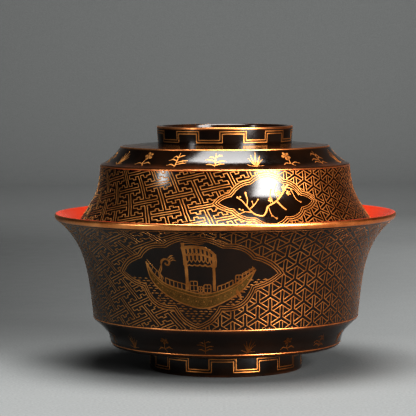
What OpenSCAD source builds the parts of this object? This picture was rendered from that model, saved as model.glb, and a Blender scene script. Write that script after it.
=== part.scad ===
// Lidded soup bowl of turned wood under dark lacquer, vermilion inside, with gilt edges.
// Lengths are in millimetres. The origin is the centre of the foot's resting face, and +Z is the turning axis.
// Every piece is a solid of revolution. Its section is a list of [radius, height] points.

/* [Bowl] */
// Radius of the flared rim
rim_r = 60.5; // [60.4:0.1:61]
// Height of the top of the rim
rim_z = 55.6; // [55.2:0.1:55.7]
// Radius of the sharp corner where the wall steps in
corner_r = 47; // [46.5:0.1:47.5]
// Height of that corner
corner_z = 18.5; // [18:0.1:19]
// Radius at the bottom of the stepped-in band
base_r = 40.7; // [40:0.1:41.4]
// Height of the bottom of the band
base_z = 9.3; // [9.1:0.1:9.7]
// Thickness of the wall at the rim
rim_t = 1.8; // [1.5:0.1:1.8]
// Thickness of the wall at the corner
wall_t = 2.6; // [2.2:0.1:3]
// Height of the inside floor
floor_z = 12.5; // [12.1:0.1:13.3]

/* [Foot ring] */
// Outer radius of the foot ring
foot_r = 27.1; // [24:0.1:30]
// Thickness of the foot ring's wall
foot_t = 2.6; // [2:0.1:4]
// Height of the bowl's underside above the table
under_z = 8.3; // [7.9:0.1:8.5]

/* [Lid] */
// Outer radius of the lid just above its lip
lip_r = 53.4; // [53:0.1:53.4]
// Height of the start of the lid's lip, which rests inside the bowl's flare
lip_z = 50.7; // [50.7:0.1:51.1]
// Radius of the lid's shoulder
shoulder_r = 44.1; // [43.8:0.1:44.4]
// Height of the lid's shoulder
shoulder_z = 72.5; // [72.1:0.1:72.9]
// Radius of the edge of the flat top
top_r = 36.8; // [36.4:0.1:37.2]
// Height of the edge of the flat top
top_z = 79; // [78.7:0.1:79.5]
// Height of the top where the knob ring stands on it
crown_z = 80.1; // [79.9:0.1:80.5]
// Thickness of the lid's wall at its lip
lip_t = 1.8; // [1.6:0.1:2]
// Thickness of the lid's wall at its shoulder
lid_t = 2.4; // [2.2:0.1:2.8]
// Height of the inside of the lid at its middle
ceiling_z = 76.9; // [76.3:0.1:77.3]

/* [Knob ring] */
// Outer radius of the knob ring where it leaves the top
knob_r = 23.7; // [22:0.1:26]
// Height of the top of the knob ring
knob_z = 86; // [84.7:0.1:88.7]
// How much wider the knob ring is at its top
knob_flare = 0.4; // [0:0.1:1]
// Thickness of the knob ring's wall
knob_t = 1.8; // [1.5:0.1:3]

/* [Lacquer and gilding] */
// Thickness of the lacquer on the wood
coat_t = 0.4; // [0.3:0.05:0.5]
// Width of a gilt line along an edge
line_w = 0.5; // [0.3:0.05:0.8]
// How far a gilt line stands proud of the lacquer
line_h = 0.1; // [0.05:0.05:0.2]
// Height of the gilding on the knob ring
knob_gilt_h = 0.7; // [0.5:0.1:1]

/* [Hidden] */

$fn = 128;
WALL_STEPS = 16;   // straight steps along a curved wall
EDGE_STEPS = 8;    // straight steps around a rounded edge
GILT_STEPS = 5;    // steps of the rim's rounded edge that are gilded, up to its crest
SHOULDER_STEPS = 3; // steps of the lid's wall, below its shoulder, that the ceiling's curve rounds off
BLUNT = 0.3;       // height of the blunted edge of a sharp corner
LIP_REACH = 0.9;   // how far the lid's rounded lip runs past lip_z, along the wall
RING_ROUND = 0.4;  // size of the blunted edges of the foot and knob rings
GLUE = 0.02;       // glue line between a ring and what it is set in

WOOD = "#8a5a34";
LACQUER = "#1d120c";
VERMILION = "#c8402a";
GOLD = "#b9803f";

// ---- paths: lists of points, with the wood on the left as the path runs ----

function on_curve(p, t) =
    pow(1 - t, 3) * p[0] + 3 * t * pow(1 - t, 2) * p[1]
    + 3 * t * t * (1 - t) * p[2] + pow(t, 3) * p[3];

// Points of the cubic curve with the control points p, from t0 to t1
function curve(p, t0 = 0, t1 = 1, steps = WALL_STEPS) =
    [for (i = [0:steps]) on_curve(p, t0 + (t1 - t0) * i / steps)];

// The share of a curve that a gilt line takes at its start, and at its end
function line_at_start(p) = line_w / (3 * norm(p[1] - p[0]));
function line_at_end(p) = line_w / (3 * norm(p[3] - p[2]));

function unit(v) = v / norm(v);
function left_of(a, b) = let (d = unit(b - a)) [-d[1], d[0]];

// The mitred normal at point i of an open path
function normal(path, i) =
    let (last = len(path) - 1,
         before = left_of(path[max(i - 1, 0)], path[max(i, 1)]),
         after = left_of(path[min(i, last - 1)], path[min(i + 1, last)]))
    (before + after) / (1 + before * after);

// The path moved to its left by a distance that changes evenly from d0 to d1.
// A point on the axis stays on the axis.
function moved(path, d0, d1) =
    let (last = len(path) - 1)
    [for (i = [0:last])
        let (p = path[i] + (d0 + (d1 - d0) * i / last) * normal(path, i))
        path[i][0] == 0 ? [0, p[1]] : p];

function part_of(path, first, last) = [for (i = [first:last]) path[i]];
function backwards(path) = [for (i = [len(path) - 1:-1:0]) path[i]];
function last_of(path) = path[len(path) - 1];

// The closed section of a layer that lies between two paths, from point first to point last
function layer(outer, inner, first, last) =
    concat(part_of(outer, first, last), backwards(part_of(inner, first, last)));

module turned(section) {
    rotate_extrude() polygon(section);
}

// ---- the bowl's surface: from the foot ring outward, over the rim and back to the axis ----

wall = [[corner_r, corner_z], [corner_r + 1.6, corner_z + 14.7],
        [corner_r + 2.2, corner_z + 27], [rim_r - 0.3, rim_z - 2]];
step = [[base_r, base_z], [base_r + 1.4, base_z + 3.2],
        [base_r - 0.5, base_z + 3.1], [corner_r, corner_z - BLUNT]];
RIM_STARTS = 0.99; // share of the wall's curve that lies below the gilt rim

underside = [[foot_r + GLUE, under_z], [base_r - 1.2, under_z], [base_r - 0.3, base_z - 0.6], [base_r, base_z]];
step_rise = curve(step, line_at_start(step), 1);
wall_rise = curve(wall, line_at_start(wall), RIM_STARTS);
bowl_outside = concat(underside, step_rise, [wall[0]], wall_rise);
wall_inside = moved(backwards(wall_rise), -rim_t, -wall_t);
rim_over = curve([last_of(wall_rise), [rim_r + 0.7, rim_z - 1],
                  [rim_r - 0.2, rim_z + 1], wall_inside[0]], steps = EDGE_STEPS);
rim_rounding = part_of(rim_over, 1, EDGE_STEPS - 1);
well = curve([last_of(wall_inside), last_of(wall_inside) + [-0.4, -5],
              [rim_r / 2, floor_z], [0, floor_z]]);
well_floor = part_of(well, 1, WALL_STEPS);

bowl_skin = concat(bowl_outside, rim_rounding, wall_inside, well_floor);
bowl_wood = moved(bowl_skin, coat_t, coat_t);
AT_BASE = len(underside) - 1;
AT_CORNER = AT_BASE + len(step_rise) + 1;
AT_RIM = len(bowl_outside) - 1;
AT_LINING = AT_RIM + GILT_STEPS;
AT_FLOOR = len(bowl_skin) - 1;

foot_hole_r = foot_r - foot_t;
recess_floor_z = under_z + coat_t;

// ---- the lid's surface: from the middle of its ceiling, round its lip and up to the knob ring ----

lid_wall = [[lip_r, lip_z], [lip_r - 8, lip_z + 11.1],
            [shoulder_r + 0.9, shoulder_z - 9.6], [shoulder_r, shoulder_z]];
lid_band = [[shoulder_r - 0.2, shoulder_z + BLUNT], [shoulder_r - 3, shoulder_z + 1.3],
            [top_r + 1.9, top_z - 2.9], [top_r, top_z]];

lid_rise = curve(lid_wall, 0, 1 - line_at_end(lid_wall));
band_rise = curve(lid_band, 0, 1 - line_at_end(lid_band));
crown = [[knob_r + 1, crown_z], [knob_r + GLUE, crown_z]];
lid_outside = concat(lid_rise, [lid_wall[3]], band_rise, [lid_band[3]], crown);
lid_inside = part_of(backwards(moved(lid_rise, lip_t, lid_t)), SHOULDER_STEPS, WALL_STEPS);
ceiling = curve([[0, ceiling_z], [top_r - 12, ceiling_z],
                 lid_inside[0] + [-0.6, 5.4], lid_inside[0]]);
lip_run = LIP_REACH * unit(lid_wall[0] - lid_wall[1]);
lip_round = curve([last_of(lid_inside), last_of(lid_inside) + lip_run,
                   lid_wall[0] + lip_run, lid_wall[0]], steps = EDGE_STEPS);
lid_ceiling = part_of(ceiling, 0, WALL_STEPS - 1);
lip_rounding = part_of(lip_round, 1, EDGE_STEPS - 1);

lid_skin = concat(lid_ceiling, lid_inside, lip_rounding, lid_outside);
lid_wood = moved(lid_skin, coat_t, coat_t);
AT_LIP = len(lid_ceiling) + len(lid_inside) - 1;
AT_WALL = AT_LIP + EDGE_STEPS;
AT_SHOULDER = AT_WALL + WALL_STEPS;
AT_TOP = AT_SHOULDER + 1 + len(band_rise);
AT_CROWN = len(lid_skin) - 1;

// ---- the knob ring: up its outside, over its edge and down its inside ----

knob_gilt_z = knob_z - knob_gilt_h;
knob_top_r = knob_r + knob_flare;
knob_gilt_r = knob_top_r - knob_flare * knob_gilt_h / (knob_z - crown_z);
knob_hole_r = knob_r - knob_t;
knob_foot_z = crown_z - coat_t;

// ---- the pieces of the bowl ----

module bowl_core() {
    color(WOOD) turned(concat(bowl_wood, [[0, recess_floor_z]]));
}

module bowl_foot_ring() {
    color(LACQUER) turned([
        [foot_hole_r, recess_floor_z - GLUE], [foot_hole_r, RING_ROUND], [foot_hole_r + RING_ROUND, 0],
        [foot_r - RING_ROUND, 0], [foot_r, RING_ROUND], [foot_r, recess_floor_z - GLUE]]);
}

module bowl_outer_coat() {
    color(LACQUER) turned(layer(bowl_skin, bowl_wood, 0, AT_RIM));
}

module bowl_recess_coat() {
    color(LACQUER) translate([0, 0, under_z]) cylinder(r = foot_hole_r - GLUE, h = coat_t);
}

module bowl_lining() {
    color(VERMILION) turned(layer(bowl_skin, bowl_wood, AT_LINING, AT_FLOOR));
}

module bowl_rim_gilding() {
    color(GOLD) turned(layer(bowl_skin, bowl_wood, AT_RIM, AT_LINING));
}

// A gilt line lies on the surface between two neighbouring points of its path
module gilt_line(skin, at) {
    edge = part_of(skin, at, at + 1);
    color(GOLD) turned(concat(edge, backwards(moved(edge, -line_h, -line_h))));
}

module bowl_corner_line() {
    gilt_line(bowl_skin, AT_CORNER);
}

module bowl_base_line() {
    gilt_line(bowl_skin, AT_BASE);
}

// ---- the pieces of the lid ----

module lid_core() {
    color(WOOD) turned(concat(lid_wood, [[0, knob_foot_z]]));
}

module lid_knob_ring() {
    color(LACQUER) turned([
        [knob_hole_r, knob_foot_z + GLUE], [knob_r, knob_foot_z + GLUE], [knob_r, crown_z],
        [knob_gilt_r, knob_gilt_z], [knob_gilt_r - RING_ROUND, knob_gilt_z],
        [knob_top_r - RING_ROUND, knob_z], [knob_hole_r + RING_ROUND, knob_z],
        [knob_hole_r, knob_z - RING_ROUND]]);
}

module lid_outer_coat() {
    color(LACQUER) turned(layer(lid_skin, lid_wood, AT_WALL, AT_CROWN));
}

module lid_recess_coat() {
    color(LACQUER) translate([0, 0, knob_foot_z]) cylinder(r = knob_hole_r - GLUE, h = coat_t);
}

module lid_lining() {
    color(VERMILION) turned(layer(lid_skin, lid_wood, 0, AT_LIP));
}

module lid_lip_gilding() {
    color(GOLD) turned(layer(lid_skin, lid_wood, AT_LIP, AT_WALL));
}

module lid_shoulder_line() {
    gilt_line(lid_skin, AT_SHOULDER);
}

module lid_top_line() {
    gilt_line(lid_skin, AT_TOP);
}

module lid_knob_gilding() {
    color(GOLD) turned([
        [knob_gilt_r - RING_ROUND, knob_gilt_z], [knob_gilt_r, knob_gilt_z],
        [knob_top_r, knob_z - RING_ROUND], [knob_top_r - RING_ROUND, knob_z]]);
}

bowl_core();
bowl_foot_ring();
bowl_outer_coat();
bowl_recess_coat();
bowl_lining();
bowl_rim_gilding();
bowl_corner_line();
bowl_base_line();
lid_core();
lid_knob_ring();
lid_outer_coat();
lid_recess_coat();
lid_lining();
lid_lip_gilding();
lid_shoulder_line();
lid_top_line();
lid_knob_gilding();
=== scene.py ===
"""Looks of a lidded soup bowl: dark lacquer on turned wood, raised gilt ornament and a vermilion inside.

Lengths are in millimetres until a mesh is made, and +Z is the turning axis. The front faces -Y.
"""
import math

import bpy
from mathutils import Euler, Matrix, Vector, noise


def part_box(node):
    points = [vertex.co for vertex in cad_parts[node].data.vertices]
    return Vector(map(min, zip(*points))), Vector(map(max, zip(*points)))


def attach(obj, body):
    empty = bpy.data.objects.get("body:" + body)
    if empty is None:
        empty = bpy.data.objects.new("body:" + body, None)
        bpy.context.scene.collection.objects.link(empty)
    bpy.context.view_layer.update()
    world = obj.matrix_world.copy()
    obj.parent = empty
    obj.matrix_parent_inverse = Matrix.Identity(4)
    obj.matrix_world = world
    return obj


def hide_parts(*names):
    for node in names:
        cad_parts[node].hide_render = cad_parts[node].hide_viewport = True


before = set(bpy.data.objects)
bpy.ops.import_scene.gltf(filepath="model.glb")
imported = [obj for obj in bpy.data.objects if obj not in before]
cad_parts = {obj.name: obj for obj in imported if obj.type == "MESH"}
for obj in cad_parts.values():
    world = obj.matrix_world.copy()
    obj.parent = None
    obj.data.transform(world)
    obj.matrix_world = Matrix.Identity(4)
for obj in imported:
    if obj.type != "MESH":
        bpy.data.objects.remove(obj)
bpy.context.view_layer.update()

MM = 0.001


def reach(node):
    """Outer radius, lowest height and highest height of a turned CAD node, in mm."""
    low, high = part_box(node)
    return high.x / MM, low.z / MM, high.z / MM


# ---- the turned shape: the CAD model's driving values, in mm ----
FOOT_R, _, FOOT_SET = reach("bowl_foot_ring")
KNOB_TOP_R, KNOB_GILT_Z, KNOB_Z = reach("lid_knob_gilding")
KNOB_R, KNOB_SET, _ = reach("lid_knob_ring")
UNDER_R, UNDER_Z, UNDER_TOP = reach("bowl_recess_coat")
HOLE_R, HOLE_Z, HOLE_TOP = reach("lid_recess_coat")
GLUE = 0.02
COAT_T = UNDER_TOP - UNDER_Z
CROWN_Z = HOLE_TOP
RIM_R, RIM_Z, RIM_T = 60.5, 55.6, 1.8
CORNER_R, CORNER_Z, WALL_T = 47.0, 18.5, 2.6
BASE_R, BASE_Z = 40.7, 9.3
FLOOR_Z = 12.5
LIP_R, LIP_Z, LIP_T = 53.4, 50.7, 1.8
SHOULDER_R, SHOULDER_Z, LID_T = 44.1, 72.5, 2.4
TOP_R, TOP_Z = 36.8, 79.0
CEILING_Z = 76.9
KNOB_BASE_R = 23.7
LINE_W, LINE_H = 0.5, 0.1
BLUNT = 0.3
LIP_REACH = 0.9
RING_ROUND = 0.4
RIM_STARTS = 0.99
EDGE_STEPS, GILT_STEPS = 16, 10
SEGMENTS = 256


def bezier(p, t):
    s = 1 - t
    weights = (s ** 3, 3 * t * s * s, 3 * t * t * s, t ** 3)
    return tuple(sum(w * q[k] for w, q in zip(weights, p)) for k in (0, 1))


def curve(p, t0=0.0, t1=1.0, steps=48):
    """Points of the cubic curve with the control points p, from t0 to t1."""
    return [bezier(p, t0 + (t1 - t0) * i / steps) for i in range(steps + 1)]


def share(p, q):
    """The share of a curve, at its end at p, that a gilt line takes."""
    return LINE_W / (3 * math.dist(p, q))


def part_way(a, b, t):
    """The point that lies the share t of the way from a to b."""
    return a[0] + (b[0] - a[0]) * t, a[1] + (b[1] - a[1]) * t


def on_circle(u, v, radius, angle):
    return u + radius * math.cos(angle), v + radius * math.sin(angle)


def left_of(a, b):
    length = math.dist(a, b)
    return (a[1] - b[1]) / length, (b[0] - a[0]) / length


def offset(path, d0, d1=None):
    """The path moved to its left by a distance that changes evenly from d0 to d1, staying on the axis."""
    d1 = d0 if d1 is None else d1
    last = len(path) - 1
    moved = []
    for i, point in enumerate(path):
        a = left_of(path[max(i - 1, 0)], path[max(i, 1)])
        b = left_of(path[min(i, last - 1)], path[min(i + 1, last)])
        reach_out = (d0 + (d1 - d0) * i / last) / (1 + a[0] * b[0] + a[1] * b[1])
        r = 0.0 if point[0] == 0 else point[0] + reach_out * (a[0] + b[0])
        moved.append((r, point[1] + reach_out * (a[1] + b[1])))
    return moved


def layer(skin, wood, first, last):
    """The closed section between two paths, from point first to point last."""
    return skin[first:last + 1] + wood[first:last + 1][::-1]


# The bowl's surface, from the foot ring outward, over the rim and down to the middle of the well
WALL = [(CORNER_R, CORNER_Z), (CORNER_R + 1.6, CORNER_Z + 14.7), (CORNER_R + 2.2, CORNER_Z + 27),
        (RIM_R - 0.3, RIM_Z - 2)]
STEP = [(BASE_R, BASE_Z), (BASE_R + 1.4, BASE_Z + 3.2), (BASE_R - 0.5, BASE_Z + 3.1),
        (CORNER_R, CORNER_Z - BLUNT)]
UNDERSIDE = [(FOOT_R + GLUE, UNDER_Z), (BASE_R - 1.2, UNDER_Z), (BASE_R - 0.3, BASE_Z - 0.6),
             (BASE_R, BASE_Z)]
step_rise = curve(STEP, share(STEP[0], STEP[1]), 1)
wall_rise = curve(WALL, share(WALL[0], WALL[1]), RIM_STARTS, 64)
wall_inside = offset(wall_rise[::-1], -RIM_T, -WALL_T)
rim_over = curve([wall_rise[-1], (RIM_R + 0.7, RIM_Z - 1), (RIM_R - 0.2, RIM_Z + 1), wall_inside[0]],
                 steps=EDGE_STEPS)
well = curve([wall_inside[-1], (wall_inside[-1][0] - 0.4, wall_inside[-1][1] - 5), (RIM_R / 2, FLOOR_Z),
              (0, FLOOR_Z)])
bowl_outside = UNDERSIDE + step_rise + [WALL[0]] + wall_rise
bowl_skin = bowl_outside + rim_over[1:-1] + wall_inside + well[1:]
bowl_wood = offset(bowl_skin, COAT_T)
AT_RIM = len(bowl_outside) - 1
AT_LINING = AT_RIM + GILT_STEPS

# The lid's surface, from the middle of its ceiling, round its lip and up to the knob ring
LID_WALL = [(LIP_R, LIP_Z), (LIP_R - 8, LIP_Z + 11.1), (SHOULDER_R + 0.9, SHOULDER_Z - 9.6),
            (SHOULDER_R, SHOULDER_Z)]
LID_BAND = [(SHOULDER_R - 0.2, SHOULDER_Z + BLUNT), (SHOULDER_R - 3, SHOULDER_Z + 1.3),
            (TOP_R + 1.9, TOP_Z - 2.9), (TOP_R, TOP_Z)]
lid_rise = curve(LID_WALL, 0, 1 - share(LID_WALL[3], LID_WALL[2]))
band_rise = curve(LID_BAND, 0, 1 - share(LID_BAND[3], LID_BAND[2]), 24)
lid_inside = offset(lid_rise, LIP_T, LID_T)[::-1][9:]
ceiling = curve([(0, CEILING_Z), (TOP_R - 12, CEILING_Z), (lid_inside[0][0] - 0.6, lid_inside[0][1] + 5.4),
                 lid_inside[0]])
run = [LIP_REACH * (a - b) / math.dist(LID_WALL[0], LID_WALL[1]) for a, b in zip(LID_WALL[0], LID_WALL[1])]
lip_round = curve([lid_inside[-1], (lid_inside[-1][0] + run[0], lid_inside[-1][1] + run[1]),
                   (LIP_R + run[0], LIP_Z + run[1]), LID_WALL[0]], steps=12)
lid_under = ceiling[:-1] + lid_inside
lid_skin = (lid_under + lip_round[1:-1] + lid_rise + [LID_WALL[3]] + band_rise + [LID_BAND[3]]
            + [(KNOB_BASE_R + 1, CROWN_Z), (KNOB_BASE_R + GLUE, CROWN_Z)])
lid_wood = offset(lid_skin, COAT_T)
AT_LIP = len(lid_under) - 1
AT_WALL = AT_LIP + len(lip_round) - 1


# ---- materials ----

class Shades:
    """A node tree that grows by short calls. Points are in metres on the mesh, so nothing slides."""

    def __init__(self, name):
        self.material = bpy.data.materials.new(name)
        self.material.use_nodes = True
        self.tree = self.material.node_tree
        self.surface = self.tree.nodes["Principled BSDF"]
        self.place = self.tree.nodes.new("ShaderNodeTexCoord").outputs["Object"]

    def node(self, kind, **values):
        made = self.tree.nodes.new("ShaderNode" + kind)
        for name, value in values.items():
            setattr(made, name, value)
        return made

    def link(self, source, target):
        self.tree.links.new(source, target)

    def set(self, **values):
        for name, value in values.items():
            self.surface.inputs[name].default_value = value

    def noise(self, size_mm, detail=4.0, roughness=0.55, stretch=(1, 1, 1)):
        """Noise whose features are about size_mm wide."""
        move = self.node("Mapping")
        move.inputs["Scale"].default_value = stretch
        self.link(self.place, move.inputs["Vector"])
        made = self.node("TexNoise")
        made.inputs["Scale"].default_value = 1 / (size_mm * MM)
        made.inputs["Detail"].default_value = detail
        made.inputs["Roughness"].default_value = roughness
        self.link(move.outputs["Vector"], made.inputs["Vector"])
        return made.outputs["Fac"]

    def ramp(self, source, *stops):
        """A colour ramp with stops (position, colour or grey)."""
        made = self.node("ValToRGB")
        ends = made.color_ramp.elements
        while len(ends) < len(stops):
            ends.new(0.5)
        for element, (position, colour) in zip(ends, stops):
            element.position = position
            element.color = (*colour, 1) if isinstance(colour, tuple) else (colour, colour, colour, 1)
        self.link(source, made.inputs["Fac"])
        return made.outputs["Color"]

    def mix(self, share_of, a, b):
        made = self.node("Mix", data_type="RGBA")
        self.link(share_of, made.inputs["Factor"])
        for value, socket in ((a, made.inputs[6]), (b, made.inputs[7])):
            if isinstance(value, tuple):
                socket.default_value = (*value, 1)
            else:
                self.link(value, socket)
        return made.outputs[2]

    def times(self, a, b):
        """The product of two colours."""
        made = self.node("Mix", data_type="RGBA", blend_type="MULTIPLY")
        made.inputs["Factor"].default_value = 1.0
        self.link(a, made.inputs[6])
        self.link(b, made.inputs[7])
        return made.outputs[2]

    def part(self, axis):
        parts = self.node("SeparateXYZ")
        self.link(self.place, parts.inputs[0])
        return parts.outputs[axis]

    def spread(self, value, first, last):
        """0 to 1 as a length goes from first to last, both in mm."""
        made = self.node("MapRange")
        made.inputs["From Min"].default_value = first * MM
        made.inputs["From Max"].default_value = last * MM
        self.link(value, made.inputs["Value"])
        return made.outputs["Result"]

    def along(self, axis, first, last):
        return self.spread(self.part(axis), first, last)

    def math(self, operation, a, b):
        made = self.node("Math", operation=operation)
        for value, socket in ((a, made.inputs[0]), (b, made.inputs[1])):
            if isinstance(value, (int, float)):
                socket.default_value = value
            else:
                self.link(value, socket)
        return made.outputs[0]

    def near_height(self, height, width):
        """1 at a height in mm, and 0 further than width from it."""
        away = self.math("ABSOLUTE", self.math("SUBTRACT", self.part("Z"), height * MM), 0)
        return self.spread(away, width, 0)

    def bump(self, source, depth_mm, strength=1.0):
        made = self.node("Bump")
        made.inputs["Distance"].default_value = depth_mm * MM
        made.inputs["Strength"].default_value = strength
        self.link(source, made.inputs["Height"])
        self.link(made.outputs["Normal"], self.surface.inputs["Normal"])

    def finish(self, base, roughness):
        self.link(base, self.surface.inputs["Base Color"])
        self.link(roughness, self.surface.inputs["Roughness"])
        return self.material


def lacquer(edges=()):
    """Near-black lacquer, browner where it wears thin along the edges at the given heights."""
    s = Shades("dark_lacquer")
    s.set(IOR=1.43)
    clouds = s.ramp(s.noise(16), (0.35, (0.0045, 0.0022, 0.0011)), (0.70, (0.014, 0.0055, 0.0020)))
    for height, width in edges:
        worn = s.math("MULTIPLY", s.near_height(height, width), s.ramp(s.noise(5), (0.35, 0.15), (0.7, 0.8)))
        clouds = s.mix(worn, clouds, (0.060, 0.019, 0.006))
    s.bump(s.math("ADD", s.noise(9, 2.0), s.math("MULTIPLY", s.noise(1.4, 3.0), 0.10)), 0.05, 0.6)
    return s.finish(clouds, s.ramp(s.noise(3.5), (0.3, 0.13), (0.75, 0.22)))


def vermilion():
    """Glossy vermilion lacquer with faint brushed rings and darker clouds."""
    s = Shades("vermilion_lacquer")
    s.set(IOR=1.5)
    clouds = s.ramp(s.noise(22), (0.3, (0.40, 0.034, 0.010)), (0.72, (0.50, 0.050, 0.016)))
    specks = s.ramp(s.noise(1.6, 2.0), (0.62, 0.0), (0.75, 0.35))
    clouds = s.mix(specks, clouds, (0.33, 0.030, 0.015))
    s.bump(s.math("ADD", s.noise(11, 2.0), s.math("MULTIPLY", s.noise(1.5, 3.0), 0.15)), 0.05, 0.6)
    return s.finish(clouds, s.ramp(s.noise(4), (0.3, 0.16), (0.75, 0.27)))


def gold(name, deep, bright, worn, rough=(0.30, 0.46), wear=(0.66, 0.80), depth_mm=0.03):
    """Brushed-on gold powder: metal with a grain, tone clouds and rubbed places, with painted warm light that
    makes it redder towards +X.
    """
    s = Shades(name)
    s.set(Metallic=1.0)
    tone = s.ramp(s.noise(6, 5.0), (0.32, deep), (0.68, bright))
    rubbed = s.ramp(s.noise(2.2, 6.0, 0.65), (wear[0], 0.0), (wear[1], 0.85))
    grain = s.noise(0.35, 3.0, 0.6)
    tone = s.mix(rubbed, tone, worn)
    # Painted light: a warm cast from the right, redder towards +X on every piece of gold.
    tone = s.times(tone, s.ramp(s.along("X", -40, 55), (0.1, (0.98, 0.99, 0.95)), (0.9, (1.05, 0.80, 0.65))))
    s.bump(s.math("ADD", grain, s.noise(1.6, 3.0)), depth_mm, 0.7)
    return s.finish(tone, s.ramp(grain, (0.3, rough[0]), (0.7, rough[1])))


def sprinkled_gold():
    """Gold dust over dark lacquer: an olive ground with brighter flecks."""
    s = Shades("sprinkled_gold")
    s.set(Metallic=0.85)
    dust = s.noise(0.30, 5.0, 0.7)
    ground = s.ramp(s.noise(4), (0.3, (0.065, 0.036, 0.010)), (0.7, (0.140, 0.076, 0.021)))
    s.bump(dust, 0.03, 0.8)
    tone = s.mix(s.ramp(dust, (0.50, 0.0), (0.68, 0.8)), ground, (0.36, 0.19, 0.060))
    return s.finish(tone, s.ramp(dust, (0.3, 0.55), (0.7, 0.38)))


def turned_wood():
    """Pale brown wood with growth rings about a leaning axis and fine pores."""
    s = Shades("turned_wood")
    tilt = s.node("Mapping")
    tilt.inputs["Rotation"].default_value = (math.radians(80), math.radians(8), 0)
    s.link(s.place, tilt.inputs["Vector"])
    rings = s.node("TexWave", wave_type="RINGS", rings_direction="Z")
    rings.inputs["Scale"].default_value = 90
    rings.inputs["Distortion"].default_value = 5
    rings.inputs["Detail"].default_value = 3
    rings.inputs["Detail Scale"].default_value = 1.5
    s.link(tilt.outputs["Vector"], rings.inputs["Vector"])
    tone = s.ramp(rings.outputs["Fac"], (0.1, (0.16, 0.075, 0.032)), (0.85, (0.33, 0.185, 0.090)))
    pores = s.noise(0.7, 4.0, 0.6, (1, 1, 0.12))
    tone = s.mix(s.ramp(pores, (0.60, 0.0), (0.74, 0.7)), tone, (0.075, 0.034, 0.016))
    s.bump(pores, 0.06, 0.5)
    return s.finish(tone, s.ramp(pores, (0.3, 0.58), (0.7, 0.72)))


LACQUER = lacquer([(CORNER_Z - 0.3, 1.3), (BASE_Z + 0.2, 0.9), (SHOULDER_Z + 0.4, 1.2), (TOP_Z, 0.8)])
RING_LACQUER = lacquer([(0, 1.0), (KNOB_GILT_Z, 0.6)])
VERMILION = vermilion()
GOLD = gold("gilding", (0.30, 0.135, 0.045), (0.52, 0.265, 0.100), (0.11, 0.042, 0.014))
# The lid's gold is a lighter copy of the bowl's gilding: painted light for the lid, which faces the lamps. It
# is also rougher.
LIT_LID_GOLD = gold("painted_light_lid_gilding", (0.35, 0.165, 0.054), (0.60, 0.315, 0.120), (0.12, 0.046, 0.015), (0.40, 0.56))
# The band's dim gold is a darker copy of the same gilding: painted shade for the sprigs on the bowl's lower
# band, which faces down.
SHADED_GOLD = gold("painted_shade_gilding", (0.19, 0.080, 0.026), (0.33, 0.155, 0.055), (0.07, 0.027, 0.010))
EDGE_GOLD = gold("edge_gilding", (0.65, 0.265, 0.098), (0.90, 0.43, 0.185), (0.34, 0.125, 0.042),
                 (0.26, 0.38), (0.70, 0.85), 0.012)
DUST = sprinkled_gold()
WOOD = turned_wood()


# ---- meshes ----

def finished(name, verts, faces, material, replaces=(), sharp_deg=35):
    """A piece made from points in mm, smooth except along its sharp edges.

    Its name starts with the body that it rides on. What isn't lacquer is gilding.
    """
    body = name.split("_")[0]
    mesh = bpy.data.meshes.new(name)
    mesh.from_pydata([(x * MM, y * MM, z * MM) for x, y, z in verts], [], faces)
    mesh.validate()
    mesh.materials.append(material)
    mesh.shade_smooth()
    mesh.set_sharp_from_angle(angle=math.radians(sharp_deg))
    piece = bpy.data.objects.new(name, mesh)
    bpy.context.scene.collection.objects.link(piece)
    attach(piece, body)
    if replaces:
        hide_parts(*replaces)
    return piece


def turned(name, section, material, node):
    """A closed section turned about the axis, in place of a CAD node. Its points run clockwise or not."""
    area = sum(a[0] * b[1] - b[0] * a[1] for a, b in zip(section, section[1:] + section[:1]))
    if area < 0:
        section = section[::-1]
    verts, rings = [], []
    for r, z in section:
        if r < 1e-6:
            rings.append([len(verts)] * SEGMENTS)
            verts.append((0.0, 0.0, z))
            continue
        rings.append([len(verts) + k for k in range(SEGMENTS)])
        for k in range(SEGMENTS):
            angle = 2 * math.pi * k / SEGMENTS
            verts.append((r * math.cos(angle), r * math.sin(angle), z))
    faces = []
    for low, high in zip(rings, rings[1:] + rings[:1]):
        if low[0] == low[1] and high[0] == high[1]:
            continue
        for k in range(SEGMENTS):
            n = (k + 1) % SEGMENTS
            corners = [low[k], low[n], high[n], high[k]]
            faces.append([c for i, c in enumerate(corners) if c not in corners[:i]])
    return finished(name, verts, faces, material, [node])


def bead(path, height):
    """The section of a rounded gilt line along a short path that has the wood on its left."""
    raised = [offset(path, -height * math.sin(math.pi * i / 6) ** 0.5)[round(i * (len(path) - 1) / 6)]
              for i in range(7)]
    return raised + offset(path, 0.05)[::-1]


def straight(a, b, steps=6):
    return [part_way(a, b, i / steps) for i in range(steps + 1)]


def rounded(section, radius, steps=5):
    """A closed section with its convex corners rounded."""
    out = []
    for i, p in enumerate(section):
        a, b = section[i - 1], section[(i + 1) % len(section)]
        first, last = [part_way(p, q, min(0.5, radius / math.dist(p, q))) for q in (a, b)]
        for j in range(steps + 1):
            t = j / steps
            out.append(part_way(part_way(first, p, t), part_way(p, last, t), t))
    return out


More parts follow.
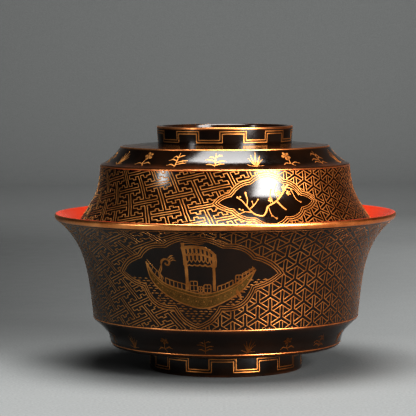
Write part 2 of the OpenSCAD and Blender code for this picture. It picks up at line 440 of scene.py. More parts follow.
def turned_pieces():
    foot_hole = UNDER_R + GLUE
    knob_hole = HOLE_R + GLUE
    gilt_in = KNOB_R - RING_ROUND
    knob_edge_r = KNOB_TOP_R - RING_ROUND
    foot = rounded([(foot_hole, FOOT_SET), (foot_hole, 0), (FOOT_R, 0), (FOOT_R, FOOT_SET)], RING_ROUND)
    knob = rounded([(knob_hole, KNOB_SET), (KNOB_BASE_R, KNOB_SET), (KNOB_BASE_R, CROWN_Z),
                    (KNOB_R, KNOB_GILT_Z), (gilt_in, KNOB_GILT_Z), (knob_edge_r, KNOB_Z),
                    (knob_hole + RING_ROUND, KNOB_Z), (knob_hole, KNOB_Z - RING_ROUND)], 0.12)
    knob_edge = [(gilt_in, KNOB_GILT_Z)] + curve([(KNOB_R, KNOB_GILT_Z), (KNOB_TOP_R, KNOB_Z - 0.3),
                                                  (KNOB_TOP_R, KNOB_Z), (knob_edge_r, KNOB_Z)], steps=8)
    under = rounded([(0, UNDER_TOP), (0, UNDER_Z), (UNDER_R, UNDER_Z), (UNDER_R, UNDER_TOP)], 0.02)
    hole = rounded([(0, HOLE_TOP), (0, HOLE_Z), (HOLE_R, HOLE_Z), (HOLE_R, HOLE_TOP)], 0.02)
    corner = curve(WALL, 0, share(WALL[0], WALL[1]), 6)
    base = curve(STEP, 0, share(STEP[0], STEP[1]), 6)
    shoulder = curve(LID_WALL, 1 - share(LID_WALL[3], LID_WALL[2]), 1, 6)
    top = curve(LID_BAND, 1 - share(LID_BAND[3], LID_BAND[2]), 1, 6)
    rows = [
        ("bowl_lacquer", layer(bowl_skin, bowl_wood, 0, AT_RIM), LACQUER, "bowl_outer_coat"),
        ("bowl_foot", foot, RING_LACQUER, "bowl_foot_ring"),
        ("bowl_recess", under, LACQUER, "bowl_recess_coat"),
        ("bowl_inside", layer(bowl_skin, bowl_wood, AT_LINING, len(bowl_skin) - 1), VERMILION, "bowl_lining"),
        ("bowl_rim_gold", layer(bowl_skin, bowl_wood, AT_RIM, AT_LINING), EDGE_GOLD, "bowl_rim_gilding"),
        ("bowl_corner_gold", bead(corner, LINE_H), EDGE_GOLD, "bowl_corner_line"),
        ("bowl_base_gold", bead(base, LINE_H), EDGE_GOLD, "bowl_base_line"),
        ("lid_lacquer", layer(lid_skin, lid_wood, AT_WALL, len(lid_skin) - 1), LACQUER, "lid_outer_coat"),
        ("lid_knob", knob, RING_LACQUER, "lid_knob_ring"),
        ("lid_recess", hole, LACQUER, "lid_recess_coat"),
        ("lid_inside", layer(lid_skin, lid_wood, 0, AT_LIP), VERMILION, "lid_lining"),
        ("lid_lip_gold", layer(lid_skin, lid_wood, AT_LIP, AT_WALL), EDGE_GOLD, "lid_lip_gilding"),
        ("lid_shoulder_gold", bead(shoulder, LINE_H), EDGE_GOLD, "lid_shoulder_line"),
        ("lid_top_gold", bead(top, LINE_H), EDGE_GOLD, "lid_top_line"),
        ("lid_knob_gold", knob_edge, EDGE_GOLD, "lid_knob_gilding"),
    ]
    for row in rows:
        turned(*row)


# ---- drawing gold on the lacquer ----

class Chart:
    """A flat map of a turned surface that keeps every angle.

    u runs round the object from the front towards +X, and v up its surface. Both are in mm where the
    radius is ref_r, and grow and shrink with the radius elsewhere.
    """

    def __init__(self, path, ref_r):
        self.path, self.ref_r = path, ref_r
        self.heights = [0.0]
        for a, b in zip(path, path[1:]):
            self.heights.append(self.heights[-1] + math.dist(a, b) * ref_r / ((a[0] + b[0]) / 2))
        self.top = self.heights[-1]
        self.round = 2 * math.pi * ref_r

    def at(self, u, v, lift):
        """The point in mm that stands lift above the surface at (u, v)."""
        low, high = 0, len(self.heights) - 1
        while high - low > 1:
            middle = (low + high) // 2
            low, high = (middle, high) if self.heights[middle] <= v else (low, middle)
        t = (v - self.heights[low]) / (self.heights[high] - self.heights[low])
        a, b = self.path[low], self.path[high]
        outward = left_of(b, a)
        r = a[0] + (b[0] - a[0]) * t + outward[0] * lift
        angle = u / self.ref_r
        return r * math.sin(angle), -r * math.cos(angle), a[1] + (b[1] - a[1]) * t + outward[1] * lift


def evenly(points, longest, closed):
    """The polyline with points added so that no step is longer than longest."""
    out = []
    for a, b in zip(points, points[1:] + (points[:1] if closed else [])):
        count = max(1, math.ceil(math.dist(a, b) / longest))
        out += [part_way(a, b, k / count) for k in range(count)]
    return out if closed else out + [points[-1]]


LIFT = 0.035      # height of the raised gold
SINK = 0.05       # how far it is set into the lacquer
STEP_LENGTH = 0.9
WOBBLE = 0.10     # how far a hand-drawn line strays


class Gilding:
    """Raised gold lines and fills drawn on a chart, gathered into one mesh."""

    ACROSS = ((-1, None), (-0.93, 0.55), (-0.5, 1), (0.5, 1), (0.93, 0.55), (1, None))

    def __init__(self, chart, lift=LIFT, wobble=WOBBLE):
        self.chart, self.lift, self.wobble = chart, lift, wobble
        self.verts, self.faces = [], []

    def line(self, points, width, closed=False, taper=None):
        """A raised line along a polyline. taper gives its width from 0 to 1 of its length."""
        stations = evenly(points, STEP_LENGTH, closed)
        n = len(stations)
        first = len(self.verts)
        for i, (u, v) in enumerate(stations):
            before = stations[i - 1] if closed or i else stations[0]
            after = stations[(i + 1) % n] if closed or i < n - 1 else stations[-1]
            a = left_of(before, (u, v)) if before != (u, v) else left_of((u, v), after)
            b = left_of((u, v), after) if after != (u, v) else a
            grow = 1 / max(0.35, (1 + a[0] * b[0] + a[1] * b[1]))
            side = ((a[0] + b[0]) * grow, (a[1] + b[1]) * grow)
            hand = Vector((u * 0.7, v * 0.7, 3.7))
            half = 0.5 * width * (1 + 0.28 * noise.noise(hand))
            half *= taper(i / (n - 1)) if taper else 1
            du = self.wobble * noise.noise(hand * 0.55 + Vector((0, 0, 9)))
            dv = self.wobble * noise.noise(hand * 0.55 + Vector((0, 0, 21)))
            for across, up in self.ACROSS:
                lift = -SINK if up is None else self.lift * up
                self.verts.append(self.chart.at(u + du + side[0] * half * across,
                                                v + dv + side[1] * half * across, lift))
        count = len(self.ACROSS)
        for i in range(n if closed else n - 1):
            here, there = first + i * count, first + (i + 1) % n * count
            for k in range(count):
                m = (k + 1) % count
                self.faces.append((here + k, there + k, there + m, here + m))
        if not closed:
            self.faces.append(tuple(first + k for k in range(count)))
            self.faces.append(tuple(first + (n - 1) * count + k for k in reversed(range(count))))

    def stroke(self, points, width):
        """A brush stroke, thin at its start, full past its middle and pointed at its end."""
        def fullness(t):
            return 0.12 + 0.88 * math.sin(math.pi * min(1, 0.08 + 0.9 * t)) ** 0.8

        self.line(points, width, taper=fullness)

    def dot(self, u, v, radius):
        """A small raised dot."""
        sides, levels = 10, ((1.0, -SINK), (0.9, 0.6 * self.lift), (0.5, self.lift))
        first = len(self.verts)
        for size, lift in levels:
            for k in range(sides):
                a = 2 * math.pi * k / sides
                self.verts.append(self.chart.at(*on_circle(u, v, radius * size, a), lift))
        for level in range(len(levels) - 1):
            for k in range(sides):
                m = (k + 1) % sides
                here = first + level * sides
                self.faces.append((here + k, here + m, here + sides + m, here + sides + k))
        self.faces.append(tuple(first + (len(levels) - 1) * sides + k for k in range(sides)))
        self.faces.append(tuple(first + k for k in reversed(range(sides))))

    def fill(self, low, high, across=4):
        """A raised patch between two polylines with the same number of points."""
        first, n = len(self.verts), len(low)
        rows = across + 1
        for a, b in zip(low, high):
            for lift in (self.lift, -SINK):
                for k in range(rows):
                    t = k / across
                    self.verts.append(self.chart.at(*part_way(a, b, t), lift))
        for i in range(n - 1):
            here, there = first + i * 2 * rows, first + (i + 1) * 2 * rows
            for k in range(across):
                self.faces.append((here + k, there + k, there + k + 1, here + k + 1))
                under, beyond = here + rows + k, there + rows + k
                self.faces.append((under + 1, beyond + 1, beyond, under))
            self.faces.append((here + rows, there + rows, there, here))
            self.faces.append((here + across, there + across, there + rows + across, here + rows + across))
        for i, turn in ((0, 1), (n - 1, -1)):
            here = first + i * 2 * rows
            for k in range(across):
                self.faces.append((here + k, here + k + 1, here + rows + k + 1, here + rows + k)[::turn])

    def build(self, name, material=GOLD, sharp_deg=50):
        return finished(name, self.verts, self.faces, material, sharp_deg=sharp_deg)


def runs_inside(points, keep, step=0.2):
    """The stretches of a polyline where keep(u, v) holds, with their own ends and its corners only."""
    runs, current = [], []
    for index, (a, b) in enumerate(zip(points, points[1:])):
        count = max(1, math.ceil(math.dist(a, b) / step))
        final = index == len(points) - 2
        for k in range(count + 1 if final else count):
            p = part_way(a, b, k / count)
            if keep(*p):
                current.append((p, k == 0))
            elif current:
                runs.append(current)
                current = []
    if current:
        runs.append(current)
    out = []
    for stretch in runs:
        if len(stretch) > 2:
            last = len(stretch) - 1
            out.append([p for i, (p, corner) in enumerate(stretch) if corner or i in (0, last)])
    return out


def bowed(a, b, sagitta, steps=10):
    """Points from a towards b along a flat arc that bulges to its left, without b itself."""
    side = left_of(a, b)
    out = []
    for i in range(steps):
        t = i / steps
        rise = 4 * sagitta * t * (1 - t)
        u, v = part_way(a, b, t)
        out.append((u + side[0] * rise, v + side[1] * rise))
    return out


class Panel:
    """A lobed panel. corners run down its right side and are mirrored to its left, bulges are how far the
    arcs between them swell, and crown is how far the one across its top does."""

    def __init__(self, chart, u, v, corners, bulges, crown):
        self.u, self.v, self.chart = u, v, chart
        ring = corners + [(-a, b) for a, b in corners[-2::-1]]
        swell = bulges + bulges[::-1] + [crown]
        self.outline = []
        for i, a in enumerate(ring):
            b = ring[(i + 1) % len(ring)]
            self.outline += bowed(a, b, swell[i])
        bins = [0.0] * 720
        for a, b in zip(self.outline, self.outline[1:] + self.outline[:1]):
            for k in range(12):
                p = part_way(a, b, k / 12)
                bins[int(math.degrees(math.atan2(p[1], p[0])) * 2) % 720] = math.hypot(*p)
        for i in range(1440):
            bins[i % 720] = bins[i % 720] or bins[i % 720 - 1]
        self.bins = bins

    def holds(self, u, v, margin=0.0):
        """Whether a point lies inside the outline, at least margin from it, seen from the middle."""
        du = (u - self.u + self.chart.round / 2) % self.chart.round - self.chart.round / 2
        dv = v - self.v
        return math.hypot(du, dv) + margin < self.bins[int(math.degrees(math.atan2(dv, du)) * 2) % 720]

    def ring(self, inset):
        """The outline moved inwards, without the loops that a corner would make."""
        points = self.outline
        count = len(points)
        out = []
        for i, p in enumerate(points):
            before, after = left_of(points[i - 1], p), left_of(p, points[(i + 1) % count])
            grow = inset / max(0.3, 1 + before[0] * after[0] + before[1] * after[1])
            q = (p[0] - (before[0] + after[0]) * grow, p[1] - (before[1] + after[1]) * grow)
            if min(math.dist(q, other) for other in points) > 0.93 * inset or inset == 0:
                out.append((q[0] + self.u, q[1] + self.v))
        return out

    def draw(self, gilding, lines):
        for inset, width in lines:
            gilding.line(self.ring(inset), width, closed=True)


def fret(gilding, keep, origin, pitch, angles, reach_uv, width):
    """Linked hooks in the old key-fret layout: each figure's four arms run on to its neighbours'.

    pitch is the distance between figures along the two axes, which lie at the given angles.
    """
    unit = [p / 5 for p in pitch]
    ax = [(math.cos(math.radians(a)) * s, math.sin(math.radians(a)) * s) for a, s in zip(angles, unit)]
    bend, hook, bar = 0.42, 1.3, 2.12
    east = [(0, -bend), (1, -bend), (1, -hook), (bar, -hook), (bar, 5 + hook), (1, 5 + hook), (1, 5 + bend),
            (0, 5 + bend)]
    north = [(0, bend), (0, 1), (hook, 1), (hook, bar), (-5 - hook, bar), (-5 - hook, 1), (-5, 1), (-5, bend)]
    arms = [east, [(-x, -y) for x, y in east], north, [(-x, -y) for x, y in north]]
    span = range(-60, 61)
    for i in span:
        for j in span:
            if (i + j) % 2:
                continue
            cu = origin[0] + 5 * i * ax[0][0] + 5 * j * ax[1][0]
            cv = origin[1] + 5 * i * ax[0][1] + 5 * j * ax[1][1]
            if not (reach_uv[0] - 12 < cu < reach_uv[1] + 12 and -12 < cv < gilding.chart.top + 12):
                continue
            for arm in arms:
                points = [(cu + x * ax[0][0] + y * ax[1][0], cv + x * ax[0][1] + y * ax[1][1])
                          for x, y in arm]
                for stretch in runs_inside(points, keep):
                    gilding.line(stretch, width)


def lattice(gilding, keep, origin, rise, column, arm, reach_uv, width):
    """Three-armed figures that lock together: rise is their spacing up a column, arm half an arm's width."""
    squeeze = column / (rise * math.sqrt(3) / 2)
    concave = arm * 2 / math.sqrt(3)
    corners = []
    for turn in range(3):
        toward = math.radians(30 + 120 * turn)
        corner = (concave * math.cos(toward), concave * math.sin(toward))
        ends = []
        for side in (-60, 60):
            along = toward + math.radians(side)
            length = rise - 3 * arm / math.sqrt(3) - concave / 2
            ends.append((corner[0] + length * math.cos(along), corner[1] + length * math.sin(along)))
        corners.append([ends[0], corner, ends[1]])
    columns = range(math.floor((reach_uv[0] - origin[0]) / column) - 1,
                    math.ceil((reach_uv[1] - origin[0]) / column) + 2)
    for i in columns:
        for j in range(-12, 13):
            cu = origin[0] + i * column
            cv = origin[1] + (j + (i % 2) / 2) * rise
            for bent in corners:
                points = [(cu + x * squeeze, cv + y) for x, y in bent]
                for stretch in runs_inside(points, keep):
                    gilding.line(stretch, width)


def meander(gilding, periods, start, low, high, gap, width):
    """Two parallel lines that follow the same square wave round a ring."""
    period = gilding.chart.round / periods
    for k in range(periods):
        left = start + k * period
        for inset in (-gap / 2, gap / 2):
            up, down = high + inset, low + inset
            a, b = left - inset, left + period / 2 + inset
            gilding.line([(a, down), (a, up), (b, up), (b, down), (a + period, down)], width)


def sprig(gilding, u, v, height, lean, seed):
    """A small brushed plant: leaves in pairs, a tuft of blades or a flower, by turns."""
    def place(x, y):
        across, up = height * x, height * y
        c, s = math.cos(lean), math.sin(lean)
        return u + across * c + up * s, v + up * c - across * s

    def draw(points, width):
        gilding.stroke([place(*p) for p in points], 0.66 * width * height)

    swing = 0.08 * math.sin(seed * 2.3)
    if seed % 3 == 0:
        draw([(-0.02, 0), (swing, 0.3), (swing * 1.2, 0.6), (0, 1)], 0.09)
        for step, size in ((0.14, 0.42), (0.40, 0.46), (0.66, 0.32)):
            for side in (-1, 1):
                y = step + 0.05 * side * math.cos(seed + step * 9)
                tip = side * size * (1 + 0.12 * math.sin(seed * 1.7 + step * 20))
                droop = y + 0.05 + 0.10 * math.cos(seed + side)
                draw([(swing, y), (tip * 0.55, y + 0.13), (tip, droop)], 0.12)
    elif seed % 3 == 1:
        for k in range(5):
            a = 0.48 * (k - 2) + swing
            tall = 1.0 - 0.13 * abs(k - 2)
            middle = (0.30 * tall * math.sin(a), 0.5 * tall)
            draw([(0, 0), middle, (tall * 0.62 * math.sin(a), tall * math.cos(a * 0.6))], 0.10)
        draw([(-0.42, 0.16), (-0.1, 0.05), (0.40, 0.14)], 0.09)
    else:
        draw([(0.10, 0), (-0.06, 0.25), (0.02, 0.55)], 0.09)
        for side in (-1, 1):
            draw([(0, 0.2), (side * 0.28, 0.30), (side * 0.48, 0.16)], 0.13)
        middle = place(0.03 + swing, 0.74)
        blossom(gilding, middle[0], middle[1], 0.27 * height, turn=seed)


def blossom(gilding, u, v, radius, petals=5, turn=0.3):
    for k in range(petals):
        a = turn + 2 * math.pi * k / petals
        gilding.stroke([on_circle(u, v, size * radius, a) for size in (0.25, 0.7, 1)], 0.75 * radius)
    gilding.dot(u, v, 0.22 * radius)


def spline(points, steps=6):
    """A smooth line through the points."""
    out = []
    last = len(points) - 1
    for i in range(last):
        p = [points[max(i - 1, 0)], points[i], points[i + 1], points[min(i + 2, last)]]
        for k in range(steps):
            t = k / steps
            weights = (-t + 2 * t * t - t ** 3, 2 - 5 * t * t + 3 * t ** 3, t + 4 * t * t - 3 * t ** 3,
                       -t * t + t ** 3)
            out.append(tuple(sum(w * q[c] for w, q in zip(weights, p)) / 2 for c in (0, 1)))
    return out + [points[-1]]


# ---- the ornament's maps and panels ----

WALL_CHART = Chart(curve(WALL, 0, RIM_STARTS, 160), 50.0)
BAND_CHART = Chart(curve(STEP, 0, 1, 80), 43.0)
FOOT_CHART = Chart(straight((FOOT_R, RING_ROUND), (FOOT_R, UNDER_Z), 12), FOOT_R)
LID_CHART = Chart(curve(LID_WALL, 0, 1, 120), 48.0)
LID_BAND_CHART = Chart(curve(LID_BAND, 0, 1, 80), 40.0)
KNOB_CHART = Chart(straight((KNOB_BASE_R, CROWN_Z), (KNOB_R, KNOB_GILT_Z), 12), KNOB_R)

BOWL_PANEL = ([(9.5, 11.5), (19.8, 7.0), (30.1, 0), (20.2, -5.3), (8.7, -12.8), (0, -19.7)],
              [1.5, 1.1, 0.8, 2.7, 1.2], 3.4)
LID_PANEL = ([(6.7, 8.5), (14.0, 3.9), (19.7, 0), (13.2, -3.4), (5.8, -6.9), (0, -9.6)],
             [1.0, 0.8, 0.6, 1.1, 0.5], 2.6)


def panels(chart, u, v, shape):
    """The panel at the front and its twin behind."""
    return [Panel(chart, u + turn * chart.round / 2, v, *shape) for turn in (0, 1)]


BOWL_PANELS = panels(WALL_CHART, -10.3, 20.3, BOWL_PANEL)
LID_PANELS = panels(LID_CHART, 14.9, 12.3, LID_PANEL)


def field(chart, both, first, v0, v1):
    """A test for the half of the wall that starts at panel number first, outside both panels."""
    start = both[first].u

    def keep(u, v):
        along = (u - start) % chart.round
        return v0 < v < v1 and along < chart.round / 2 and not any(p.holds(u, v, -0.1) for p in both)

    return keep, (start, start + chart.round / 2)


def ring_at(chart, v):
    return [(chart.round * k / 180, v) for k in range(180)]


def wall_ornament(body, chart, both, material, low, high, border, border_width, hooks, figures, frames):
    """A wall's key fret left of its front panel, locked figures right of it, and the panels' frames."""
    (u, v), pitch, angles, width = hooks
    drawn = Gilding(chart)
    keep, ends = field(chart, both, 1, low, high)
    fret(drawn, keep, (u + chart.round, v), pitch, angles, ends, width)
    drawn.build(body + "_fret", material)
    drawn = Gilding(chart)
    keep, ends = field(chart, both, 0, low, high)
    origin, rise, column, arm, width = figures
    lattice(drawn, keep, origin, rise, column, arm, ends, width)
    drawn.build(body + "_lattice", material)
    drawn = Gilding(chart, LIFT * 1.3)
    for panel in both:
        panel.draw(drawn, frames)
    drawn.line(ring_at(chart, border), border_width, closed=True)
    drawn.build(body + "_panel_lines", material)


# ---- the boat on the bowl's front panel: places are measured from the panel's middle ----

HULL_LOW = spline([(-16.9, 4.3), (-16.2, -1.5), (-12.5, -6.0), (-5.5, -10.0), (3.0, -11.9), (10.5, -9.3),
                   (17.0, -4.8), (20.6, 1.8)])
HULL_TOP = spline([(-16.9, 4.3), (-15.2, 0.6), (-11.0, -3.2), (-5.0, -5.2), (3.0, -6.8), (10.0, -5.1),
                   (15.5, -2.0), (20.6, 1.8)])
ROOF_LEFT, ROOF_RIGHT = -3.2, 7.4


def between(low, high, t):
    return [part_way(a, b, t) for a, b in zip(low, high)]


def height_on(path, x):
    """The height of a path that runs rightwards, at x."""
    for a, b in zip(path, path[1:]):
        if a[0] <= x <= b[0]:
            return a[1] + (b[1] - a[1]) * (x - a[0]) / (b[0] - a[0])
    return None


def roof_edge(y_left, y_right, sag, ripples=0, deep=0.0):
    """One edge of the canopy, from left to right, with an optional scalloped line."""
    out = []
    for k in range(25):
        t = k / 24
        ripple = deep * abs(math.sin(math.pi * ripples * t)) if ripples else 0
        out.append((ROOF_LEFT + (ROOF_RIGHT - ROOF_LEFT) * t,
                    y_left + (y_right - y_left) * t ** 4 + sag * math.sin(math.pi * t) - ripple))
    return out


def boat(panel):
    def put(points):
        return [(panel.u - 0.6 + x, panel.v + y) for x, y in points]

    fill = Gilding(panel.chart, LIFT * 0.6, 0)
    fill.fill(put(HULL_LOW), put(HULL_TOP), 6)
    fill.build("bowl_boat_dusting", DUST)

    lines = Gilding(panel.chart, wobble=0.05)
    for path, width in ((HULL_LOW, 0.50), (HULL_TOP, 0.42), (between(HULL_TOP, HULL_LOW, 0.24), 0.30)):
        lines.line(put(path), width)
    for place in between(HULL_TOP, HULL_LOW, 0.56)[8:42:2]:
        lines.dot(*put([place])[0], 0.27)
    for x, y0, y1, width in ((-2.6, -5.4, 12.0, 1.15), (6.7, -5.7, 7.4, 1.05)):
        lines.line(put([(x, y0), (x, y1)]), width)
    lines.fill(put(roof_edge(9.3, 6.4, 0.5)), put(roof_edge(10.2, 7.0, 0.5)), 3)
    canopy(lines, put)
    for y, reach_right in ((12.4, 5.8), (11.6, 4.2)):
        lines.stroke(put([(-2.2, y), (0.2, y + 0.35), (2.4, y - 0.15), (reach_right, y + 0.15)]), 0.52)
    rails(lines, put)
    prow_scroll(lines, put)
    for x, y, wide, tall in ((-0.4, -5.7, 2.6, 3.4), (1.9, -6.2, 1.7, 2.0), (4.3, -6.3, 2.4, 2.8),
                             (15.0, -3.1, 2.2, 3.0)):
        bale(lines, put, x, y, wide, tall)
    for x0, x1, rise in ((16.4, 20.3, 1.3), (16.0, 20.0, 2.0)):
        ends = [(x0, height_on(HULL_TOP, x0) + rise), (x1, height_on(HULL_TOP, x1) + rise * 0.6)]
        lines.line(put(ends), 0.36)
    for k in range(4):
        x = 16.4 + 1.1 * k
        lines.line(put([(x, height_on(HULL_TOP, x) + 0.2), (x - 0.3, height_on(HULL_TOP, x) + 1.9)]), 0.32)
    lines.stroke(put([(14.2, -5.4), (15.0, -6.8), (15.9, -8.3)]), 1.5)
    lines.build("bowl_boat_lines")
    waves(panel)


def canopy(lines, put):
    """The roof's edges, and two rows of hanging loops."""
    for path, width in ((roof_edge(10.2, 7.0, 0.5), 0.85), (roof_edge(6.9, 5.2, 0.5), 0.62),
                        (roof_edge(3.5, 2.9, 0.2, 6, 0.4), 0.60)):
        lines.line(put(path), width)
    for x, y0, y1 in ((ROOF_LEFT, 3.5, 10.2), (ROOF_RIGHT, 2.9, 7.0)):
        lines.line(put([(x, y0), (x + 0.15, (y0 + y1) / 2), (x, y1)]), 0.50)
    for y_left, y_right, drop in ((9.4, 6.5, 2.4), (6.6, 5.0, 2.3)):
        top = roof_edge(y_left, y_right, 0.5)
        for k in range(7):
            x, y = top[3 * k + 3]
            half = 0.48
            loop = [(x - half, y), (x - half, y - 0.7 * drop), (x, y - drop), (x + half, y - 0.7 * drop),
                    (x + half, y)]
            lines.line(put(loop), 0.42)


def bale(lines, put, x, y, wide, tall):
    """A bale of cargo with rounded corners and two crossed cords."""
    half = wide / 2
    outline = rounded([(x - half, y), (x + half, y), (x + half, y + tall), (x - half, y + tall)], 0.5, 3)
    lines.line(put(outline), 0.42, closed=True)
    lines.line(put([(x - half, y + tall * 0.55), (x + half, y + tall * 0.55)]), 0.32)
    lines.line(put([(x, y), (x, y + tall)]), 0.32)


def rails(lines, put):
    """Railings: a top rail and short posts down to the hull's edge, and ticks along the prow."""
    for x0, x1, rise, posts in ((-10.4, -3.2, 2.2, 6), (7.8, 13.0, 1.8, 5)):
        xs = [x0 + (x1 - x0) * k / (posts - 1) for k in range(posts)]
        lines.line(put([(x, height_on(HULL_TOP, x) + rise) for x in xs]), 0.42)
        for x in xs:
            lines.line(put([(x, height_on(HULL_TOP, x) + 0.2), (x, height_on(HULL_TOP, x) + rise)]), 0.36)
    edge = [(-16.4, 5.0), (-14.6, 2.6), (-12.2, 0.0), (-11.2, -1.4)]
    lines.line(put(spline(edge, 4)), 0.34)
    for k, (x, y) in enumerate(spline(edge, 2)):
        if k:
            lines.line(put([(x, y), (x - 0.75, y - 1.5)]), 0.30)


def prow_scroll(lines, put):
    """A curled post at the prow, drawn with two lines."""
    for gap, width in ((0.0, 0.40), (0.62, 0.32)):
        stem = [(-11.8 - gap, -1.6), (-12.2 - gap, 0.2), (-11.4 - gap, 1.8)]
        for k in range(14):
            a, size = 2.9 - 0.48 * k, 1.9 - 0.115 * k - gap * 0.6
            stem.append(on_circle(-9.3, 4.0, size, a))
        lines.line(put(spline(stem, 3)), width)
    for k in range(3):
        lines.stroke(put([(-8.6 + 0.3 * k, 5.6 - 0.5 * k), (-7.4 + 0.3 * k, 6.7 - 0.7 * k),
                          (-6.4 + 0.3 * k, 6.9 - 1.0 * k)]), 0.5)


def waves(panel):
    """Short strokes in staggered rows on the water."""
    drawn = Gilding(panel.chart, wobble=0.12)
    for row in range(22):
        y = -1.9 - 0.86 * row
        for k in range(-14, 15):
            x = 2.1 * (k + 0.5 * (row % 2)) + 0.35 * math.sin(row * 2.1 + k * 1.3)
            hull = height_on(HULL_LOW, x + 0.6)
            low_enough = (y < hull - 0.6) if hull is not None else True
            long = 0.72 + 0.14 * math.sin(row * 1.7 + k * 2.9)
            ends = [(panel.u + x + side * long, panel.v + y) for side in (-1, 1)]
            if low_enough and all(panel.holds(u, v, 2.0) for u, v in ends):
                drawn.stroke([ends[0], ((ends[0][0] + ends[1][0]) / 2, ends[0][1] + 0.07), ends[1]], 0.54)
    drawn.build("bowl_water")


# ---- the other pictures ----

def moonlit_reeds(panel):
    """The bowl's rear panel: reeds and grass in front of a low moon and water."""
    def put(points):
        return [(panel.u + x, panel.v + y) for x, y in points]

    disc = Gilding(panel.chart, LIFT * 0.6, 0)
    moon = (8.5, 6.0, 3.2)
    left = [on_circle(*moon, math.pi / 2 + math.pi * k / 16) for k in range(17)]
    right = [(2 * moon[0] - x, y) for x, y in left]
    disc.fill(put(left), put(right), 8)
    disc.build("bowl_moon_dusting", DUST)
    lines = Gilding(panel.chart)
    lines.line(put([on_circle(*moon, math.pi * k / 18) for k in range(36)]), 0.34, closed=True)
    for k in range(7):
        x, tall, lean = -15 + 3.1 * k, 11.5 - 3.0 * abs(math.sin(k * 1.9)), 2.2 * math.sin(k * 2.4 + 0.6)
        root = -8.4 + 0.3 * k
        stem = [(x, root), (x + lean * 0.25, root + tall * 0.5), (x + lean, root + tall)]
        lines.line(put(spline(stem)), 0.36)
        for leaf in range(3):
            y = root + tall * (0.25 + 0.22 * leaf)
            side = 1 if (leaf + k) % 2 else -1
            blade = [(x + lean * 0.2, y), (x + side * 1.7, y + 1.9), (x + side * 3.6, y + 1.1)]
            lines.stroke(put(blade), 0.8)
        lines.stroke(put([(x + lean, root + tall - 0.3), (x + lean * 1.2, root + tall + 1.2),
                          (x + lean * 1.5, root + tall + 2.6)]), 1.0)
    for row in range(6):
        for k in range(-5, 6):
            x, y = 3.7 * k + 1.8 * (row % 2), -9.6 - 1.15 * row
            ends = [(panel.u + x + side * 1.1, panel.v + y) for side in (-1, 1)]
            if all(panel.holds(u, v, 2.4) for u, v in ends):
                lines.stroke([ends[0], (panel.u + x, panel.v + y + 0.2), ends[1]], 0.4)
    lines.build("bowl_reeds")


def branch(panel, name, mirror=1):
    """A flowering branch on a lid panel."""
    def put(points):
        return [(panel.u + mirror * x, panel.v + y) for x, y in points]

    drawn = Gilding(panel.chart, wobble=0.12)
    trunk = [(8.6, 6.6), (7.4, 5.6), (5.5, 3.1), (3.3, 0.9), (1.0, -0.4), (-0.6, -1.4), (-1.5, -3.4),
             (-2.9, -4.8), (-5.8, -3.8), (-7.6, -1.4), (-9.0, 0.6), (-10.8, 2.0)]
    drawn.line(put(spline(trunk, 5)), 0.62, taper=lambda t: 1.15 - 0.4 * t)
    twigs = [([(-7.9, -0.9), (-7.5, 1.3), (-8.1, 3.6)], 0.50), ([(-8.1, 3.6), (-7.6, 1.8)], 0.85),
             ([(-6.8, -1.9), (-5.3, -0.7), (-3.8, 1.2)], 0.45), ([(-5.6, -0.9), (-5.9, 0.4)], 0.45),
             ([(-6.2, -3.5), (-8.5, -3.1), (-10.2, -2.3)], 0.45), ([(-8.6, -3.1), (-10.6, -3.8)], 0.40),
             ([(-0.2, -1.4), (-0.1, -2.9), (0.5, -4.6), (1.6, -5.7)], 0.45), ([(3.3, 0.5), (6.0, -2.8)], 1.0),
             ([(7.6, 5.4), (9.2, 5.2), (9.9, 3.4), (11.0, 1.1), (12.4, 0)], 0.5),
             ([(1.6, 0.0), (0.9, 2.6), (1.4, 4.6)], 0.45), ([(3.6, 1.3), (2.8, 4.2), (3.6, 6.4)], 0.45),
             ([(9.2, 5.2), (11.0, 4.4), (12.2, 3.0)], 0.42)]
    for twig, width in twigs:
        drawn.line(put(spline(twig, 4)), 0.8 * width, taper=lambda t: 1 - 0.3 * t)
    for x, y, size in ((6.6, 5.4, 1.2), (8.2, 3.5, 1.0), (0.8, 1.1, 0.9), (4.2, 3.6, 1.0)):
        blossom(drawn, panel.u + mirror * x, panel.v + y, size, turn=x)
    buds = [(-11.0, 2.3, 0.42), (-10.0, 2.4, 0.36), (-10.4, -2.1, 0.36), (-10.8, -3.9, 0.36),
            (-8.1, 3.9, 0.42), (-3.7, 1.4, 0.36), (-5.9, 0.7, 0.30), (1.8, -5.8, 0.42), (0.3, -4.9, 0.3),
            (12.6, 0.0, 0.42), (1.5, 4.9, 0.36), (3.7, 6.6, 0.36), (12.4, 2.8, 0.36), (-9.3, -2.4, 0.3)]
    for x, y, size in buds:
        drawn.dot(panel.u + mirror * x, panel.v + y, size)
    # The branch takes the lid's lighter gold, with painted light.
    drawn.build(name, LIT_LID_GOLD)


def bands():
    """Brushed sprigs round the two bands, and the line pairs that bend round the knob and foot rings."""
    # The bowl's sprigs take the darker gold, with painted shade; the lid's take the lighter gold, with
    # painted light.
    plants = [("bowl_sprigs", SHADED_GOLD, BAND_CHART, 18, -10, 1.0, 6.0),
              ("lid_sprigs", LIT_LID_GOLD, LID_BAND_CHART, 19, -5, 1.2, 7.0)]
    for name, material, chart, count, start, low, tall in plants:
        drawn = Gilding(chart, wobble=0.05)
        for k in range(count):
            u = math.radians(start + 360 / count * k) * chart.ref_r
            sprig(drawn, u, low, tall, 0.10 * math.sin(k * 2.1), k)
        drawn.build(name, material)
    meanders = [("bowl_foot_meander", GOLD, FOOT_CHART, 10, -12, 1.7, 5.4),
                ("lid_knob_meander", LIT_LID_GOLD, KNOB_CHART, 9, -3.6, 1.1, 4.1)]
    for name, material, chart, periods, start, low, high in meanders:
        drawn = Gilding(chart, wobble=0.05)
        meander(drawn, periods, math.radians(start) * chart.ref_r, low, high, 0.85, 0.42)
        drawn.build(name, material)


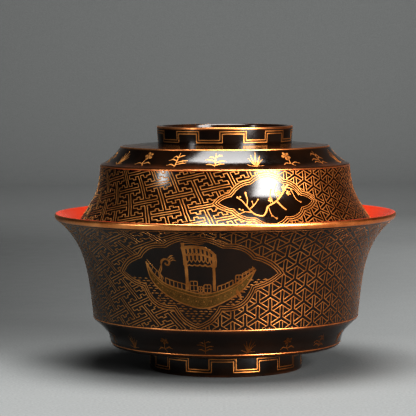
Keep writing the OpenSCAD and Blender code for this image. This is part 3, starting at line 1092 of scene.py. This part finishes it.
turned_pieces()
wall_ornament("bowl", WALL_CHART, BOWL_PANELS, GOLD, 0.7, 36.6, 37.0, 0.30,
              ((-29.1, 1.5), (6.7, 6.3), (22, 134), 0.34),
              ((19.8, 15.3), 5.45, 4.45, 0.64, 0.37),
              [(0, 0.36), (0.82, 0.42), (1.60, 0.32)])
# The lid's ornament takes the lighter gold, with painted light.
wall_ornament("lid", LID_CHART, LID_PANELS, LIT_LID_GOLD, 1.9, LID_CHART.top - 0.55, 1.6, 0.35,
              ((-12.3, 13.2), (6.75, 6.0), (12, 116), 0.37),
              ((38.9, 15.6), 4.4, 4.15, 0.54, 0.34),
              [(0, 0.36), (0.78, 0.36), (1.50, 0.26)])
boat(BOWL_PANELS[0])
moonlit_reeds(BOWL_PANELS[1])
branch(LID_PANELS[0], "lid_branch")
branch(LID_PANELS[1], "lid_rear_branch", -1)
bands()
for node in ("bowl_core", "lid_core"):
    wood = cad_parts[node]
    wood.data.materials.clear()
    wood.data.materials.append(WOOD)


# ---- stage, light and camera ----

def stage_surface():
    """A pale floor that curves up into a backdrop. Its colour holds painted light: a painted pool of light
    round the object, painted shade in front of it and towards the backdrop, and painted light that makes it
    lighter to the right behind the object.
    """
    depth, bend_r, height, half = 1.10, 0.40, 1.6, 2.0
    profile = [(-2.0, 0.0), (depth, 0.0)]
    profile += [(depth + bend_r * math.sin(a), bend_r * (1 - math.cos(a)))
                for a in [math.pi / 2 * k / 16 for k in range(1, 17)]]
    profile.append((depth + bend_r, height))
    verts = [(x, y, z) for y, z in profile for x in (-half, half)]
    faces = [(2 * i, 2 * i + 1, 2 * i + 3, 2 * i + 2) for i in range(len(profile) - 1)]
    mesh = bpy.data.meshes.new("backdrop")
    mesh.from_pydata(verts, [], faces)
    mesh.shade_smooth()
    s = Shades("backdrop_paper")
    s.set(IOR=1.12)
    # Painted light along the floor: lightest round the object, painted shade in front, out of view, and
    # darker towards the backdrop.
    paper = s.ramp(s.along("Y", -250, 1250), (0.0, 0.12), (0.093, 0.215), (0.127, 0.215), (0.227, 0.150),
                   (0.40, 0.110), (0.52, 0.077), (0.66, 0.074), (0.77, 0.086), (0.90, 0.108))
    weave = s.ramp(s.noise(0.9, 2.0), (0.3, (0.80, 0.825, 0.815)), (0.7, (0.98, 1.0, 0.99)))
    # Painted light from the right: darker to the left and lighter to the right, behind the object only.
    side = s.ramp(s.along("X", -150, 150), (0.0, 0.56), (0.5, 1.0), (1.0, 1.7))
    behind = s.ramp(s.along("Y", -250, 750), (0.22, 0.0), (0.45, 1.0), (0.70, 0.8), (1.0, 0.0))
    paper = s.mix(behind, paper, s.times(paper, side))
    mesh.materials.append(s.finish(s.times(paper, weave), s.ramp(s.noise(9), (0.3, 0.75), (0.7, 0.85))))
    floor = bpy.data.objects.new("backdrop", mesh)
    bpy.context.scene.collection.objects.link(floor)


def softbox(name, azimuth, elevation, distance, size, power, target=(0, 0, 0.045)):
    """An area light that looks at the target. Azimuth runs from the front towards +X."""
    a, e = math.radians(azimuth), math.radians(elevation)
    away = Vector((math.sin(a) * math.cos(e), -math.cos(a) * math.cos(e), math.sin(e)))
    light = bpy.data.lights.new(name, "AREA")
    light.shape = "RECTANGLE"
    light.size, light.size_y = size
    light.energy = power
    lamp = bpy.data.objects.new(name, light)
    lamp.location = Vector(target) + away * distance
    lamp.rotation_euler = away.to_track_quat("Z", "Y").to_euler()
    lamp.visible_camera = False
    bpy.context.scene.collection.objects.link(lamp)


def world_light():
    world = bpy.data.worlds.new("studio")
    world.use_nodes = True
    world.node_tree.nodes["Background"].inputs["Color"].default_value = (0.55, 0.56, 0.58, 1)
    world.node_tree.nodes["Background"].inputs["Strength"].default_value = 0.06
    bpy.context.scene.world = world
    bpy.context.scene.view_settings.view_transform = "Standard"
    bpy.context.scene.view_settings.look = "High Contrast"


def camera():
    data = bpy.data.cameras.new("camera")
    data.lens, data.sensor_width = 121.3, 24
    eye = bpy.data.objects.new("camera", data)
    eye.location = (-0.0061, -0.7457, 0.1083)
    level = Euler((math.radians(90 - 3.955), 0, 0)).to_matrix()
    roll = Euler((0, 0, math.radians(-0.3))).to_matrix()
    eye.rotation_euler = (level @ roll).to_euler()
    bpy.context.scene.collection.objects.link(eye)
    bpy.context.scene.camera = eye


stage_surface()
softbox("overhead", 4, 80, 0.75, (0.50, 0.48), 10)
softbox("right", 39, 16, 2.4, (1.0, 1.33), 105)
softbox("left", -57, 8, 0.9, (0.12, 0.12), 1.1)
softbox("backdrop", 5, 35, 0.8, (0.4, 0.4), 7.0, (0.0, 1.25, 0.10))
world_light()
camera()
